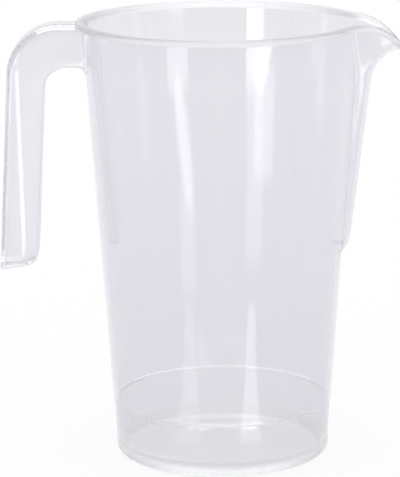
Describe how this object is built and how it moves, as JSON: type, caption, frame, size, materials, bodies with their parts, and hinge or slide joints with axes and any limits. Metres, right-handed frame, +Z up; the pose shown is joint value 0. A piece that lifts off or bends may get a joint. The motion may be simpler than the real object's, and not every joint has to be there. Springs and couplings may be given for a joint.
{
  "type": "beer pitcher",
  "caption": "Clear tapered pitcher with a rolled rim, a beaked spout over a long pouring channel, a stepped foot and an open hook handle for pouring drinks.",
  "frame": {"origin": "centre of the standing ring, on the body's axis at the table", "axes": "+Z up along the body's axis, +X towards the spout, -X towards the handle"},
  "size_m": [0.1823, 0.1304, 0.2],
  "materials": {
    "clear_plastic": "clear, polished"
  },
  "bodies": {
    "root": {"rim_bead": "clear_plastic", "body_wall": "clear_plastic", "stacking_ledge": "clear_plastic", "foot_skirt": "clear_plastic", "foot_ring": "clear_plastic", "base_floor": "clear_plastic", "pouring_channel": "clear_plastic", "spout_beak": "clear_plastic", "handle_arm": "clear_plastic", "handle_bend": "clear_plastic", "handle_grip": "clear_plastic", "handle_end": "clear_plastic"}
  },
  "joints": []
}
